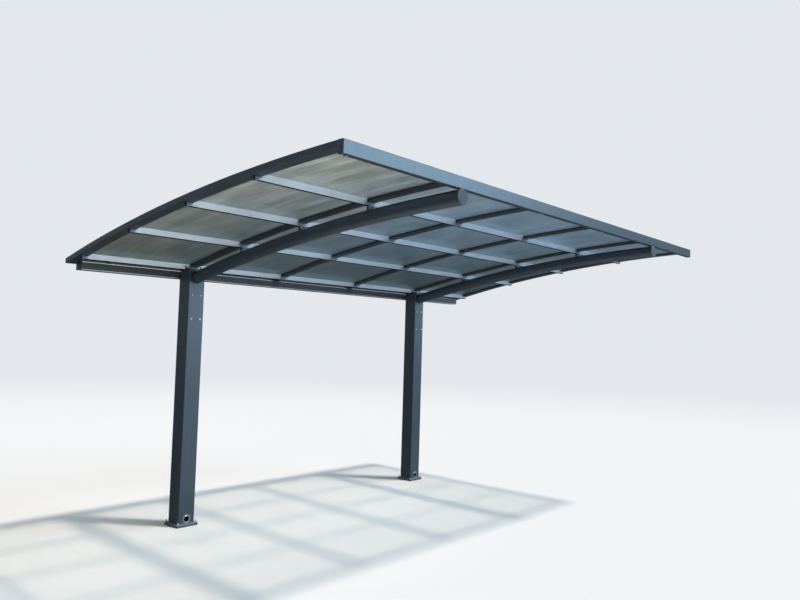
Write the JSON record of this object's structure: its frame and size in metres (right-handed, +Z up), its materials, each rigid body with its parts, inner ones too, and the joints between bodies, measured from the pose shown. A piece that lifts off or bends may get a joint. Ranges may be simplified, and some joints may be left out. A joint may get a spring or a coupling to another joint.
{
  "type": "carport",
  "caption": "Cantilever carport: rear posts carry curved round beams under a low arched roof of translucent sheets, with a rear gutter draining through the posts",
  "frame": {"origin": "centre of the underside of the left base plate, seen from the open front", "axes": "X along the roof towards the right post, -Y to the open front edge, +Z up"},
  "size_m": [5.02, 3.0234, 2.614],
  "materials": {
    "anthracite": "satin powder coat, anthracite grey with a blue cast",
    "rail_aluminium": "extruded aluminium with a pale natural anodised face, dark below",
    "seal_rubber": "matt black EPDM seals and strips",
    "foot_metal": "satin powder coat, anthracite grey, worn at the ground",
    "dark_metal": "matt coated steel inside the post heads",
    "bright_metal": "bare satin aluminium",
    "polycarbonate": "translucent smoky multiwall sheet with fine lengthwise flutes"
  },
  "bodies": {
    "root": {"base_plate_left": "foot_metal", "base_plate_right": "foot_metal", "beam_cap_left": "anthracite", "beam_cap_right": "anthracite", "beam_left": "anthracite", "beam_right": "anthracite", "beam_saddles_left": "anthracite", "beam_saddles_right": "anthracite", "drain_outlet_left": "bright_metal", "drain_outlet_right": "bright_metal", "fascia_end_plates": "anthracite", "front_fascia": "anthracite", "glazing_cap_1": "anthracite", "glazing_cap_2": "anthracite", "glazing_cap_3": "anthracite", "glazing_cap_4": "anthracite", "gutter_end_plates": "anthracite", "gutter_floor": "anthracite", "gutter_lips": "anthracite", "gutter_spout_left": "anthracite", "gutter_spout_right": "anthracite", "gutter_walls": "anthracite", "head_insert_left": "dark_metal", "head_insert_right": "dark_metal", "post_cap_left": "anthracite", "post_cap_right": "anthracite", "post_left": "anthracite", "post_right": "anthracite", "purlin_1": "rail_aluminium", "purlin_2": "rail_aluminium", "purlin_3": "rail_aluminium", "purlin_4": "rail_aluminium", "purlin_cleats_left": "anthracite", "purlin_cleats_right": "anthracite", "rafter_1": "anthracite", "rafter_2": "anthracite", "rafter_3": "anthracite", "rafter_4": "anthracite", "rake_left": "anthracite", "rake_right": "anthracite", "roof_sheet_1": "polycarbonate", "roof_sheet_2": "polycarbonate", "roof_sheet_3": "polycarbonate", "roof_sheet_4": "polycarbonate", "roof_sheet_5": "polycarbonate", "sheet_edge_trim": "anthracite"}
  },
  "joints": []
}
